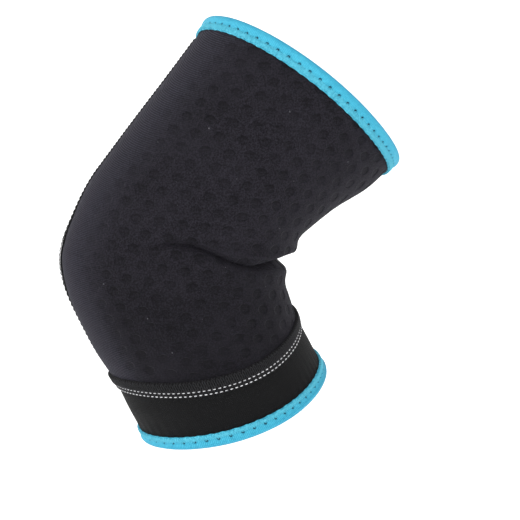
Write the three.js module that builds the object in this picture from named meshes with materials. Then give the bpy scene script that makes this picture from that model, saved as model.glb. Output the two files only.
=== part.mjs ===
// An elbow brace: a pull-on sleeve of dimpled foam cloth, as it sits on a bent arm, with a plain
// cuff at the forearm end and a tape folded over both edges. Sizes are in millimetres and angles
// in degrees.
//
// Frame: the arm bends in the XZ plane. +X points to the crook of the elbow, +Z is up, and the
// origin is the middle of the elbow, inside the sleeve. The upper arm leaves to the upper right and
// the forearm to the lower right.
import * as THREE from "three";

// The bent arm
const ELBOW_ANGLE = 106;
const UPPER_ARM_RISE = 43.5;
const BEND_RADIUS = 36;

// The sleeve along the middle of the arm, from the elbow to the edge of the cloth at each end
const UPPER_REACH = 84.5;
const LOWER_REACH = 68.6;
const CUFF_HEIGHT = 26.7;

// How much further down the arm the seams near the cuff lie at the sides than at the back and crook,
// and how much further up it the upper edge reaches at the crook
const SEAM_BOW = 7.4;
const UPPER_LIP = 5;

// The sleeve across: depth is from the back of the arm to the front, width is from side to side
const UPPER_DEPTH = 107;
const ELBOW_DEPTH = 95;
const LOWER_DEPTH = 84;
const UPPER_WIDTH = 90;
const ELBOW_WIDTH = 82;
const LOWER_WIDTH = 79;

// Cloth, and the clearance between pieces that are sewn together
const SLEEVE_WALL = 2.6;
const CUFF_WALL = 2.0;
const GAP = 0.3;

// Tape folded over both edges. It shows less of its width at the lower one.
const UPPER_TAPE_WIDTH = 7;
const LOWER_TAPE_WIDTH = 5.8;
const TAPE_CLOTH = 0.9;
const TAPE_PUFF = 0.5;
const TAPE_ROUNDING = 0.2;

// Flat strips over the seams. At the elbow's point the back strip sways out from its turn, for some
// way along the arm.
const CUFF_SEAM_WIDTH = 6.4;
const BACK_SEAM_WIDTH = 5;
const STRIP_THICKNESS = 0.7;
const STRIP_CROWN = 0.2;
const BACK_SEAM_TURN = -27;
const BACK_SEAM_SWAY = 5;
const SWAY_AT = 4;
const SWAY_LENGTH = 12;

// The largest crease at the crook
const FOLD_HEIGHT = 5;
const FOLD_WIDTH = 9;

// Each row is one section across the arm. at: its place, -1 at the upper edge, 0 at the elbow and 1
// at the lower edge. back, front, side: how far the cloth lies from the middle of the arm there, as
// shares of half the depth or half the width. tilt: the angle from the section in the elbow's middle.
// point: how much narrower the section is towards the back than towards the front. bow: the share of
// SEAM_BOW by which the cloth lies further down the arm at its sides. lip: the share of UPPER_LIP by
// which it lies further up the arm at the crook.
const SECTIONS = [
  { at: -1.0, back: 0.94, front: 0.905, side: 0.99, tilt: -30.5, point: 0.02, bow: -0.07, lip: 1 },
  { at: -0.75, back: 0.925, front: 0.93, side: 1.0, tilt: -22, point: 0.03, bow: -0.05, lip: 0.05 },
  { at: -0.5, back: 0.93, front: 0.89, side: 1.0, tilt: -14.5, point: 0.05, bow: -0.03, lip: 0 },
  { at: -0.25, back: 0.94, front: 0.89, side: 1.0, tilt: -8, point: 0.1, bow: 0, lip: 0 },
  { at: -0.1, back: 0.97, front: 0.93, side: 1.0, tilt: -2, point: 0.14, bow: 0, lip: 0 },
  { at: 0.04, back: 1.04, front: 0.93, side: 1.0, tilt: 6, point: 0.16, bow: 0, lip: 0 },
  { at: 0.15, back: 1.03, front: 0.92, side: 1.0, tilt: 11, point: 0.14, bow: 0.05, lip: 0 },
  { at: 0.3, back: 0.99, front: 0.9, side: 1.0, tilt: 18, point: 0.1, bow: 0.25, lip: 0 },
  { at: 0.45, back: 0.97, front: 0.88, side: 1.0, tilt: 25, point: 0.05, bow: 0.65, lip: 0 },
  { at: 0.62, back: 0.94, front: 0.87, side: 0.98, tilt: 29.5, point: 0.02, bow: 1, lip: 0 },
  { at: 0.8, back: 0.96, front: 0.9, side: 0.99, tilt: 31, point: 0, bow: 0.9, lip: 0 },
  { at: 1.0, back: 0.97, front: 0.93, side: 1.0, tilt: 32, point: 0, bow: 0.5, lip: 0 },
];

// Each row is one crease or roll in the cloth. It runs round the arm from one turn to the other,
// where 0 is the back of the arm, 90 the side towards -Y and 180 the crook. path: its place along
// the sleeve at five even steps from first to last. height and width: shares of FOLD_HEIGHT, which
// is negative in a crease, and of FOLD_WIDTH. fadeIn, fadeOut: the shares of its length over which
// it comes and goes.
const FOLDS = [
  {
    from: 36, to: 180, path: [0, -0.045, 0.04, -0.02, -0.02],
    height: -0.4, width: 0.34, fadeIn: 0.35, fadeOut: 0,
  },
  {
    from: 180, to: 318, path: [-0.02, -0.02, 0.03, 0, 0.01],
    height: -0.4, width: 0.34, fadeIn: 0, fadeOut: 0.5,
  },
  {
    from: 102, to: 256, path: [0.04, 0.01, -0.02, 0, 0.02],
    height: -0.95, width: 0.44, fadeIn: 0.35, fadeOut: 0.4,
  },
  {
    from: 78, to: 262, path: [-0.06, -0.04, -0.13, -0.05, -0.05],
    height: 0.3, width: 0.5, fadeIn: 0.3, fadeOut: 0.4,
  },
  {
    from: 84, to: 172, path: [-0.08, -0.085, -0.07, -0.1, -0.16],
    height: -0.2, width: 0.26, fadeIn: 0.3, fadeOut: 0.5,
  },
  {
    from: 110, to: 250, path: [0.11, 0.1, 0.08, 0.09, 0.1],
    height: 0.16, width: 0.5, fadeIn: 0.4, fadeOut: 0.4,
  },
  {
    from: 30, to: 68, path: [0.05, 0.03, 0.01, 0, -0.01],
    height: -0.08, width: 0.24, fadeIn: 0.4, fadeOut: 0.5,
  },
];

// The net of the cloth: columns lie closer at the crook, rings closer at the elbow
const COLUMNS = 52;
const COLUMN_CROWDING = 0.25;
const UPPER_RINGS = 19;
const LOWER_RINGS = 12;
const RING_CROWDING = 1.5;

const { degToRad, lerp, clamp, smoothstep } = THREE.MathUtils;

// A smooth curve through one column of the table of sections
function column(name) {
  const last = SECTIONS.length - 1;
  const slope = (i) => {
    const a = SECTIONS[Math.max(i - 1, 0)];
    const b = SECTIONS[Math.min(i + 1, last)];
    return (b[name] - a[name]) / (b.at - a.at);
  };
  return (at) => {
    let i = 0;
    while (i < last - 1 && at > SECTIONS[i + 1].at) i += 1;
    const a = SECTIONS[i];
    const b = SECTIONS[i + 1];
    const step = b.at - a.at;
    const t = (at - a.at) / step;
    if (t < 0) return a[name] + (at - a.at) * slope(i);
    if (t > 1) return b[name] + (at - b.at) * slope(i + 1);
    const rest = 1 - t;
    const fromStart = (a[name] * (1 + 2 * t) + slope(i) * step * t) * rest * rest;
    const fromEnd = (b[name] * (1 + 2 * rest) - slope(i + 1) * step * rest) * t * t;
    return fromStart + fromEnd;
  };
}

const section = {
  back: column("back"),
  front: column("front"),
  side: column("side"),
  tilt: column("tilt"),
  point: column("point"),
  bow: column("bow"),
  lip: column("lip"),
};

// The middle of the arm: a straight line, an arc round the crook and a straight line
const TURN = degToRad(180 - ELBOW_ANGLE);
const MID_HEADING = degToRad(180 + UPPER_ARM_RISE) + TURN / 2;
const HALF_ARC = (BEND_RADIUS * TURN) / 2;
function middle(along) {
  const onArc = clamp(along, -HALF_ARC, HALF_ARC);
  const heading = MID_HEADING + onArc / BEND_RADIUS;
  const beyond = along - onArc;
  return {
    x: BEND_RADIUS * (Math.sin(heading) - Math.sin(MID_HEADING)) + Math.cos(heading) * beyond,
    z: BEND_RADIUS * (Math.cos(MID_HEADING) - Math.cos(heading)) + Math.sin(heading) * beyond,
  };
}

const placeOf = (along) => (along < 0 ? along / UPPER_REACH : along / LOWER_REACH);
const alongOf = (at) => (at < 0 ? at * UPPER_REACH : at * LOWER_REACH);

// A point on the outer face of the sleeve before it creases
function plainPoint(line, turn) {
  const cos = Math.cos(turn);
  const bow = SEAM_BOW * section.bow(placeOf(line)) * Math.sin(turn) ** 2;
  const lip = UPPER_LIP * section.lip(placeOf(line)) * Math.max(-cos, 0) ** 3;
  const along = line + bow - lip;
  const at = placeOf(along);
  const far = Math.min(Math.abs(at), 1);
  const depth = lerp(ELBOW_DEPTH, at < 0 ? UPPER_DEPTH : LOWER_DEPTH, far) / 2;
  const width = lerp(ELBOW_WIDTH, at < 0 ? UPPER_WIDTH : LOWER_WIDTH, far) / 2;
  const toBack = MID_HEADING - Math.PI / 2 + degToRad(section.tilt(at));
  const across = cos * depth * (cos > 0 ? section.back(at) : section.front(at));
  const sideways = -Math.sin(turn) * width * section.side(at) * (1 - section.point(at) * cos);
  const c = middle(along);
  return new THREE.Vector3(
    c.x + Math.cos(toBack) * across,
    sideways,
    c.z + Math.sin(toBack) * across,
  );
}

// A smooth curve through the places of a path, at a share of its length
function pathPlace(path, share) {
  const i = Math.min(Math.floor(share * (path.length - 1)), path.length - 2);
  const t = share * (path.length - 1) - i;
  const before = path[Math.max(i - 1, 0)];
  const after = path[Math.min(i + 2, path.length - 1)];
  const bend = (path[i] - path[i + 1]) * 3 + after - before;
  const pull = before * 2 - path[i] * 5 + path[i + 1] * 4 - after;
  return path[i] + ((path[i + 1] - before + (pull + bend * t) * t) * t) / 2;
}

// How far the creases and rolls move the cloth in or out. stretch: millimetres of cloth for each
// millimetre along the middle of the arm.
function foldHeight(along, turn, stretch) {
  const degrees = THREE.MathUtils.euclideanModulo(THREE.MathUtils.radToDeg(turn), 360);
  let height = 0;
  for (const fold of FOLDS) {
    const share = (degrees - fold.from) / (fold.to - fold.from);
    if (share < 0 || share >= 1) continue;
    const off = (along - alongOf(pathPlace(fold.path, share))) * stretch;
    const fade = smoothstep(share, 0, fold.fadeIn) * smoothstep(1 - share, 0, fold.fadeOut);
    const near = Math.exp(-2 * (off / (fold.width * FOLD_WIDTH)) ** 2);
    height += fold.height * FOLD_HEIGHT * fade * near;
  }
  return height;
}

// The small step over which slopes are taken: millimetres along the arm, radians round it
const STEP = 0.01;

// The way out of the cloth, and its stretch as above
function outwards(along, turn) {
  const round = plainPoint(along, turn + STEP).sub(plainPoint(along, turn - STEP));
  const down = plainPoint(along + STEP, turn).sub(plainPoint(along - STEP, turn));
  const stretch = down.length() / (2 * STEP);
  return { out: down.cross(round).normalize(), stretch };
}

// A point of the cloth, at a height over its outer face
function clothPoint(along, turn, height) {
  const { out, stretch } = outwards(along, turn);
  return plainPoint(along, turn).addScaledVector(out, height + foldHeight(along, turn, stretch));
}

// The turn of a column, from its share of the way round
function turnOf(share) {
  return 2 * Math.PI * share + COLUMN_CROWDING * Math.sin(2 * Math.PI * share);
}

// A closed skin over rows of loops: loops[j][i] is point i of loop j. A ring joins its last loop to
// its first, and a strip is closed by flat caps.
function skin(loops, isRing) {
  const size = loops[0].length;
  const positions = loops.flat().flatMap((p) => p.toArray());
  const index = [];
  const last = isRing ? loops.length : loops.length - 1;
  for (let j = 0; j < last; j += 1) {
    const here = j * size;
    const next = ((j + 1) % loops.length) * size;
    for (let i = 0; i < size; i += 1) {
      const k = (i + 1) % size;
      index.push(here + i, here + k, next + k, here + i, next + k, next + i);
    }
  }
  if (!isRing) {
    const end = last * size;
    for (let i = 1; i < size - 1; i += 1) {
      index.push(0, i + 1, i, end, end + i, end + i + 1);
    }
  }
  const geometry = new THREE.BufferGeometry();
  geometry.setAttribute("position", new THREE.Float32BufferAttribute(positions, 3));
  geometry.setIndex(index);
  geometry.computeVertexNormals();
  return geometry;
}

// A band right round the arm. profileAt gives its section at a turn, as [along, height] pairs in order.
function band(profileAt) {
  const loops = [];
  for (let j = 0; j < COLUMNS; j += 1) {
    const turn = turnOf(j / COLUMNS);
    loops.push(profileAt(turn).map(([along, height]) => clothPoint(along, turn, height)));
  }
  return skin(loops, true);
}

const group = new THREE.Group();
function add(name, geometry, finish) {
  const mesh = new THREE.Mesh(geometry, new THREE.MeshStandardMaterial(finish));
  mesh.name = name;
  group.add(mesh);
}

const DIMPLED_CLOTH = { color: 0x2b2a30, roughness: 0.92 };
const CUFF_CLOTH = { color: 0x202022, roughness: 0.85 };
const EDGE_TAPE = { color: 0x3fb0d4, roughness: 0.6 };
const SEAM_STRIP = { color: 0x17171a, roughness: 0.9 };

const JOINT = LOWER_REACH - CUFF_HEIGHT;

// The sleeve, from its upper edge to the joint with the cuff
function sleeve() {
  const rings = [];
  for (let k = UPPER_RINGS; k > 0; k -= 1) {
    rings.push(-UPPER_REACH * (k / UPPER_RINGS) ** RING_CROWDING);
  }
  for (let k = 0; k <= LOWER_RINGS; k += 1) {
    rings.push((JOINT - GAP / 2) * (k / LOWER_RINGS) ** RING_CROWDING);
  }
  const outside = rings.map((along) => [along, 0]);
  const inside = rings.map((along) => [along, -SLEEVE_WALL]).reverse();
  return band(() => [...outside, ...inside]);
}

// The plain cuff, from the joint to the lower edge
function cuff() {
  const rings = [0, 0.5, 1].map((share) => lerp(JOINT + GAP / 2, LOWER_REACH, share));
  const outside = rings.map((along) => [along, 0]);
  const inside = rings.map((along) => [along, -CUFF_WALL]).reverse();
  return band(() => [...outside, ...inside]);
}

// The place along the arm that lies a distance out from an edge of the cloth. end: -1 at the upper
// edge and 1 at the lower.
function fromEdge(end, reach, out, turn) {
  return end * (reach + out / outwards(end * reach, turn).stretch);
}

const TAPE_RIM = GAP + TAPE_CLOTH;

// The tape folded over an edge, as wide all the way round
function tape(end, reach, wall, width) {
  const rim = TAPE_RIM;
  const hem = rim - width;
  const half = [
    [GAP, GAP],
    [hem, GAP],
    [hem, rim],
    [hem / 2, rim + TAPE_PUFF],
    [0, rim + TAPE_PUFF / 2],
    [rim * (1 - TAPE_ROUNDING), (-wall * TAPE_ROUNDING) / 2],
  ];
  const other = half.map(([out, height]) => [out, -wall - height]).reverse();
  const profile = [...half, [rim + TAPE_PUFF, -wall / 2], ...other];
  const loop = end < 0 ? profile.reverse() : profile;
  return band((turn) => loop.map(([out, height]) => [fromEdge(end, reach, out, turn), height]));
}

// The strip round the arm over the joint of the sleeve and the cuff
function cuffStrip() {
  const half = CUFF_SEAM_WIDTH / 2;
  const top = GAP + STRIP_THICKNESS;
  return band(() => [
    [JOINT - half, GAP],
    [JOINT - half, top],
    [JOINT, top + STRIP_CROWN],
    [JOINT + half, top],
    [JOINT + half, GAP],
    [JOINT, GAP],
  ]);
}

// The strip along the back of the sleeve, between the upper tape and the cuff's strip
function backStrip() {
  const turn = degToRad(BACK_SEAM_TURN);
  const from = fromEdge(-1, UPPER_REACH, TAPE_RIM - UPPER_TAPE_WIDTH - GAP, turn);
  const to = JOINT - CUFF_SEAM_WIDTH / 2 - GAP;
  const steps = UPPER_RINGS + LOWER_RINGS;
  const half = BACK_SEAM_WIDTH / 2;
  const top = GAP + STRIP_THICKNESS;
  const profile = [
    [-half, GAP],
    [0, GAP],
    [half, GAP],
    [half, top],
    [0, top + STRIP_CROWN],
    [-half, top],
  ];
  const loops = [];
  for (let k = 0; k <= steps; k += 1) {
    const along = lerp(from, to, k / steps);
    const ahead = plainPoint(along, turn + STEP);
    const perRadian = ahead.distanceTo(plainPoint(along, turn - STEP)) / (2 * STEP);
    const sway = BACK_SEAM_SWAY * Math.exp(-(((along - SWAY_AT) / SWAY_LENGTH) ** 2));
    loops.push(
      profile.map(([across, height]) => {
        return clothPoint(along, turn + (across + sway) / perRadian, height);
      }),
    );
  }
  return skin(loops, false);
}

add("sleeve_body", sleeve(), DIMPLED_CLOTH);
add("cuff_band", cuff(), CUFF_CLOTH);
add("upper_binding", tape(-1, UPPER_REACH, SLEEVE_WALL, UPPER_TAPE_WIDTH), EDGE_TAPE);
add("lower_binding", tape(1, LOWER_REACH, CUFF_WALL, LOWER_TAPE_WIDTH), EDGE_TAPE);
add("cuff_seam", cuffStrip(), SEAM_STRIP);
add("back_seam", backStrip(), SEAM_STRIP);

export default group;
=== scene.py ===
# %% [markdown]
# # A pull-on elbow brace, dressed for a studio picture
#
# The brace is a bent sleeve of dimpled foam cloth. It has a plain black cuff at the
# forearm end and a blue tape folded over both edges. Its solids come from a CAD model, which is
# the fixed frame here. This lesson lays a fine cloth surface over them, sews on the threads,
# mixes the materials and sets up the light and the camera.

import math

import bmesh
import bpy
import numpy as np
from mathutils import Matrix, Vector


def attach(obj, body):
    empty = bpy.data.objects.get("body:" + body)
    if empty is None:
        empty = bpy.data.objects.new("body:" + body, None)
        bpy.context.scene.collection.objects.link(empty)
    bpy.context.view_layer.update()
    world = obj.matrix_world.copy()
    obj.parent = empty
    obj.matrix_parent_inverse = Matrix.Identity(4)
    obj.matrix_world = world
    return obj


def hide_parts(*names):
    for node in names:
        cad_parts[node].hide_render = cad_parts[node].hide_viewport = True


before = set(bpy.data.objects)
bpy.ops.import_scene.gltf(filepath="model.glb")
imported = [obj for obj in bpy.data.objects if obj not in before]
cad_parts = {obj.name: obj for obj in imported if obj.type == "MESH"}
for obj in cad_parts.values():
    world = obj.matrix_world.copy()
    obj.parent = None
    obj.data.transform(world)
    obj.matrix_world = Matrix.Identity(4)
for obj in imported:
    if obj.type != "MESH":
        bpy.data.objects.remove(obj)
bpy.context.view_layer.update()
print("nodes:", sorted(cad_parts))

# %% [markdown]
# ## The sizes of the brace
#
# Every length is in metres, so MM turns the familiar millimetres into them. The names and the
# shares are those of the CAD model: the sleeve follows a bent middle line, and a short
# table says how far the cloth lies from it at the back, the front and the sides.

# %% Sizes
MM = 0.001

ELBOW_ANGLE = 106
UPPER_ARM_RISE = 43.5
BEND_RADIUS = 36 * MM

UPPER_REACH = 84.5 * MM
LOWER_REACH = 68.6 * MM
CUFF_HEIGHT = 26.7 * MM
JOINT = LOWER_REACH - CUFF_HEIGHT
SEAM_BOW = 7.4 * MM
UPPER_LIP = 5 * MM

UPPER_DEPTH, ELBOW_DEPTH, LOWER_DEPTH = 107 * MM, 95 * MM, 84 * MM
UPPER_WIDTH, ELBOW_WIDTH, LOWER_WIDTH = 90 * MM, 82 * MM, 79 * MM

SLEEVE_WALL = 2.6 * MM
CUFF_WALL = 2.0 * MM
GAP = 0.3 * MM

UPPER_TAPE_WIDTH = 7 * MM
LOWER_TAPE_WIDTH = 5.8 * MM
TAPE_CLOTH = 0.9 * MM
TAPE_PUFF = 0.5 * MM

CUFF_SEAM_WIDTH = 6.4 * MM
BACK_SEAM_WIDTH = 5 * MM
STRIP_THICKNESS = 0.7 * MM
BACK_SEAM_TURN = math.radians(-27)
BACK_SEAM_SWAY = 5 * MM
SWAY_AT = 4 * MM
SWAY_LENGTH = 12 * MM

FOLD_HEIGHT = 5 * MM
FOLD_WIDTH = 9 * MM

# %% The table of sections
SECTION_NAMES = ("at", "back", "front", "side", "tilt", "point", "bow", "lip")
SECTIONS = np.array([
    (-1.0, 0.94, 0.905, 0.99, -30.5, 0.02, -0.07, 1),
    (-0.75, 0.925, 0.93, 1.0, -22, 0.03, -0.05, 0.05),
    (-0.5, 0.93, 0.89, 1.0, -14.5, 0.05, -0.03, 0),
    (-0.25, 0.94, 0.89, 1.0, -8, 0.1, 0, 0),
    (-0.1, 0.97, 0.93, 1.0, -2, 0.14, 0, 0),
    (0.04, 1.04, 0.93, 1.0, 6, 0.16, 0, 0),
    (0.15, 1.03, 0.92, 1.0, 11, 0.14, 0.05, 0),
    (0.3, 0.99, 0.9, 1.0, 18, 0.1, 0.25, 0),
    (0.45, 0.97, 0.88, 1.0, 25, 0.05, 0.65, 0),
    (0.62, 0.94, 0.87, 0.98, 29.5, 0.02, 1, 0),
    (0.8, 0.96, 0.9, 0.99, 31, 0, 0.9, 0),
    (1.0, 0.97, 0.93, 1.0, 32, 0, 0.5, 0),
])
print("sections:", len(SECTIONS))

# %% [markdown]
# ## Creases and rolls
#
# Where the sleeve bends, the spare cloth on the inside gathers into one deep crease
# with a roll above it. Each crease is a path across the cloth with a width and a height. The
# first rows are the CAD model's own. The last two are the sharp bottom of the long crease,
# which only a fine mesh can hold.

# %% The table of folds
# The columns: from, to, path, height, width, fade in, fade out
FOLDS = [
    (36, 180, (0, -0.045, 0.04, -0.02, -0.02), -0.4, 0.34, 0.35, 0),
    (180, 318, (-0.02, -0.02, 0.03, 0, 0.01), -0.4, 0.34, 0, 0.5),
    (102, 256, (0.04, 0.01, -0.02, 0, 0.02), -0.95, 0.44, 0.35, 0.4),
    (78, 262, (-0.06, -0.04, -0.13, -0.05, -0.05), 0.3, 0.5, 0.3, 0.4),
    (84, 172, (-0.08, -0.085, -0.07, -0.1, -0.16), -0.2, 0.26, 0.3, 0.5),
    (110, 250, (0.11, 0.1, 0.08, 0.09, 0.1), 0.16, 0.5, 0.4, 0.4),
    (30, 68, (0.05, 0.03, 0.01, 0, -0.01), -0.08, 0.24, 0.4, 0.5),
    (40, 180, (0, -0.045, 0.04, -0.02, -0.02), -0.42, 0.15, 0.3, 0),
    (180, 318, (-0.02, -0.02, 0.03, 0, 0.01), -0.42, 0.15, 0, 0.5),
]
print("folds:", len(FOLDS))

# %% [markdown]
# ## One function for all the cloth
#
# Each piece of a sewn sleeve lies on the same curved surface, so one function places them all.
# It takes a distance along the arm, a turn round it and a height over the cloth, and gives a
# point. A turn of 0 is the back of the arm and 180 degrees is the crook. The maths works on
# whole arrays at once, which keeps a mesh of a hundred thousand corners quick.

# %% Smooth curves through a table
def smoothstep(x, low, high):
    """0 below low, 1 above high, and a smooth rise between."""
    if high <= low:
        return np.where(x > low, 1.0, 0.0)
    t = np.clip((x - low) / (high - low), 0, 1)
    return t * t * (3 - 2 * t)


def length(vectors):
    return np.linalg.norm(vectors, axis=-1)


def unit(vectors):
    return vectors / length(vectors)[..., None]


def run_along(line):
    """How far each point of a line lies from its start, along the line."""
    return np.concatenate([[0], np.cumsum(length(np.diff(line, axis=0)))])


def column(name):
    """A smooth curve through one column of the table of sections."""
    at, value = SECTIONS[:, 0], SECTIONS[:, SECTION_NAMES.index(name)]
    last = len(at) - 1
    before = np.maximum(np.arange(last + 1) - 1, 0)
    after = np.minimum(np.arange(last + 1) + 1, last)
    slope = (value[after] - value[before]) / (at[after] - at[before])

    def curve(where):
        i = np.searchsorted(at[1:last], where, side="left")
        step = at[i + 1] - at[i]
        t = (where - at[i]) / step
        rest = 1 - t
        from_start = (value[i] * (1 + 2 * t) + slope[i] * step * t) * rest * rest
        from_end = (value[i + 1] * (1 + 2 * rest) - slope[i + 1] * step * rest) * t * t
        inside = from_start + from_end
        inside = np.where(t < 0, value[i] + (where - at[i]) * slope[i], inside)
        return np.where(t > 1, value[i + 1] + (where - at[i + 1]) * slope[i + 1], inside)

    return curve


section = {name: column(name) for name in SECTION_NAMES[1:]}


def along_path(path, share):
    """A smooth curve through the places of a path, at a share of its length."""
    path = np.asarray(path, dtype=float)
    last = len(path) - 1
    i = np.clip(np.floor(share * last).astype(int), 0, last - 1)
    t = share * last - i
    before, after = path[np.maximum(i - 1, 0)], path[np.minimum(i + 2, last)]
    bend = (path[i] - path[i + 1]) * 3 + after - before
    pull = before * 2 - path[i] * 5 + path[i + 1] * 4 - after
    return path[i] + (path[i + 1] - before + (pull + bend * t) * t) * t / 2


# %% The middle of the arm
ARM_TURN = math.radians(180 - ELBOW_ANGLE)
MID_HEADING = math.radians(180 + UPPER_ARM_RISE) + ARM_TURN / 2
HALF_ARC = BEND_RADIUS * ARM_TURN / 2


def middle(along):
    """A straight line, an arc round the crook and a straight line."""
    on_arc = np.clip(along, -HALF_ARC, HALF_ARC)
    heading = MID_HEADING + on_arc / BEND_RADIUS
    beyond = along - on_arc
    x = BEND_RADIUS * (np.sin(heading) - math.sin(MID_HEADING)) + np.cos(heading) * beyond
    z = BEND_RADIUS * (math.cos(MID_HEADING) - np.cos(heading)) + np.sin(heading) * beyond
    return x, z


def place_of(along):
    return along / np.where(along < 0, UPPER_REACH, LOWER_REACH)


# %% The outer face of the cloth
def plain_point(line, turn):
    """A point on the outer face of the sleeve before it creases."""
    bow = SEAM_BOW * section["bow"](place_of(line)) * np.sin(turn) ** 2
    lip = UPPER_LIP * section["lip"](place_of(line)) * np.maximum(-np.cos(turn), 0) ** 3
    along = line + bow - lip
    at = place_of(along)
    far = np.minimum(np.abs(at), 1)
    depth = ELBOW_DEPTH + (np.where(at < 0, UPPER_DEPTH, LOWER_DEPTH) - ELBOW_DEPTH) * far
    width = ELBOW_WIDTH + (np.where(at < 0, UPPER_WIDTH, LOWER_WIDTH) - ELBOW_WIDTH) * far
    to_back = MID_HEADING - math.pi / 2 + np.radians(section["tilt"](at))
    cos = np.cos(turn)
    across = cos * depth / 2 * np.where(cos > 0, section["back"](at), section["front"](at))
    narrowing = 1 - section["point"](at) * cos
    sideways = -np.sin(turn) * width / 2 * section["side"](at) * narrowing
    x, z = middle(along)
    return np.stack([x + np.cos(to_back) * across, sideways, z + np.sin(to_back) * across], -1)


def fold_height(along, turn, stretch):
    """How far the creases and rolls move the cloth in or out."""
    degrees = np.degrees(turn) % 360
    height = np.zeros(np.broadcast(along, turn).shape)
    for first, last, path, tall, wide, fade_in, fade_out in FOLDS:
        share = (degrees - first) / (last - first)
        here = (share >= 0) & (share < 1)
        share = np.clip(share, 0, 1)
        place = along_path(path, share)
        line = place * np.where(place < 0, UPPER_REACH, LOWER_REACH)
        off = (along - line) * stretch / (wide * FOLD_WIDTH)
        fade = smoothstep(share, 0, fade_in) * smoothstep(1 - share, 0, fade_out)
        height += np.where(here, tall * FOLD_HEIGHT * fade * np.exp(-2 * off**2), 0)
    return height


# %% A point of the cloth at any height
SLOPE_STEP = 0.01


def cloth_frame(along, turn):
    """The plain point, the way out of the cloth, and how much the cloth is stretched there."""
    step = SLOPE_STEP * MM
    around = plain_point(along, turn + SLOPE_STEP) - plain_point(along, turn - SLOPE_STEP)
    down = plain_point(along + step, turn) - plain_point(along - step, turn)
    return plain_point(along, turn), unit(np.cross(down, around)), length(down) / (2 * step)


def cloth_point(along, turn, height):
    """A point at a height over the creased outer face of the cloth."""
    point, out, stretch = cloth_frame(along, turn)
    return point + out * (height + fold_height(along, turn, stretch))[..., None]


def girth(along):
    """The length once round the cloth."""
    turn = np.linspace(0, math.tau, 721)
    ring = plain_point(np.full_like(turn, along), turn)
    return float(length(np.diff(ring, axis=0)).sum())


print(f"girth: upper edge {girth(-UPPER_REACH):.3f} m, lower edge {girth(LOWER_REACH):.3f} m")

# %% [markdown]
# ## From a flat cloth to a sewn band
#
# A sleeve starts as flat cloth, and so does its mesh. create_grid makes the flat pattern, each
# corner of which knows its share of the way across (u) and up (v). Moving the corners wraps
# it, and the edges that meet are merged like a seam. That keeps the faces even and the UV map
# simple, which extruding ring after ring wouldn't.

# %% Wrap a flat grid
MERGE = 0.001 * MM


def smooth_piece(bm, mesh):
    """Write the faces to the mesh, smooth, and put it in the scene."""
    for face in bm.faces:
        face.smooth = True
    bm.to_mesh(mesh)
    bm.free()
    piece = bpy.data.objects.new(mesh.name, mesh)
    bpy.context.collection.objects.link(piece)
    print(f"{piece.name}: {len(mesh.polygons)} faces")
    return piece


def wrapped_grid(name, columns, rows, wrap):
    """A closed mesh from a flat grid. wrap(u, v) gives points, UVs in metres and attributes."""
    bm = bmesh.new()
    bmesh.ops.create_grid(bm, x_segments=columns, y_segments=rows, size=0.5)
    mesh = bpy.data.meshes.new(name)
    bm.to_mesh(mesh)
    flat = np.empty(len(mesh.vertices) * 3)
    mesh.vertices.foreach_get("co", flat)
    flat = flat.reshape(-1, 3)
    points, uv, attributes = wrap(flat[:, 0] + 0.5, flat[:, 1] + 0.5)
    mesh.vertices.foreach_set("co", points.ravel())
    corner = np.empty(len(mesh.loops), dtype=np.int32)
    mesh.loops.foreach_get("vertex_index", corner)
    layer = mesh.uv_layers.new(name="cloth")
    layer.data.foreach_set("uv", uv[corner].ravel())
    for key, values in attributes.items():
        mesh.attributes.new(key, "FLOAT", "POINT").data.foreach_set("value", values)
    bm.clear()
    bm.from_mesh(mesh)
    bmesh.ops.remove_doubles(bm, verts=bm.verts, dist=MERGE)
    bmesh.ops.recalc_face_normals(bm, faces=bm.faces)
    return smooth_piece(bm, mesh)


def even_rows(v, count):
    """The row number that each corner of a grid lies in."""
    return np.rint(v * count).astype(int)


# %% [markdown]
# ## Where the dimples lie
#
# The dimples of the cloth lie in rows, each row set about half a step aside from the last. On
# the bent sleeve the rows stay nearly level, so they can't follow its rings. Here
# the pattern's place is worked out on level slices through the arm: across the cloth by its
# distance round the slice, and up the cloth by the height itself. Slow waves then shift the
# dimples a little, as no cloth lies exactly.

# %% The level slices
ARM_BEYOND = 0.15
UPPER_HEADING = MID_HEADING - ARM_TURN / 2
LOWER_HEADING = MID_HEADING + ARM_TURN / 2


def slice_line(turn, axis):
    """How one line along the sleeve moves with height, carried on along the arm at each end."""
    line = np.linspace(-UPPER_REACH, LOWER_REACH, 300)
    points = plain_point(line, np.full_like(line, turn))
    up = np.array([math.cos(UPPER_HEADING), 0, math.sin(UPPER_HEADING)]) * -ARM_BEYOND
    down = np.array([math.cos(LOWER_HEADING), 0, math.sin(LOWER_HEADING)]) * ARM_BEYOND
    points = np.vstack([points[0] + up, points, points[-1] + down])[::-1]
    height = np.maximum.accumulate(points[:, 2] + np.arange(len(points)) * 1e-9)
    return lambda z: np.interp(z, height, points[:, axis])


back_x, crook_x = slice_line(0, 0), slice_line(math.pi, 0)
side_y = slice_line(math.pi / 2, 1)


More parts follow.
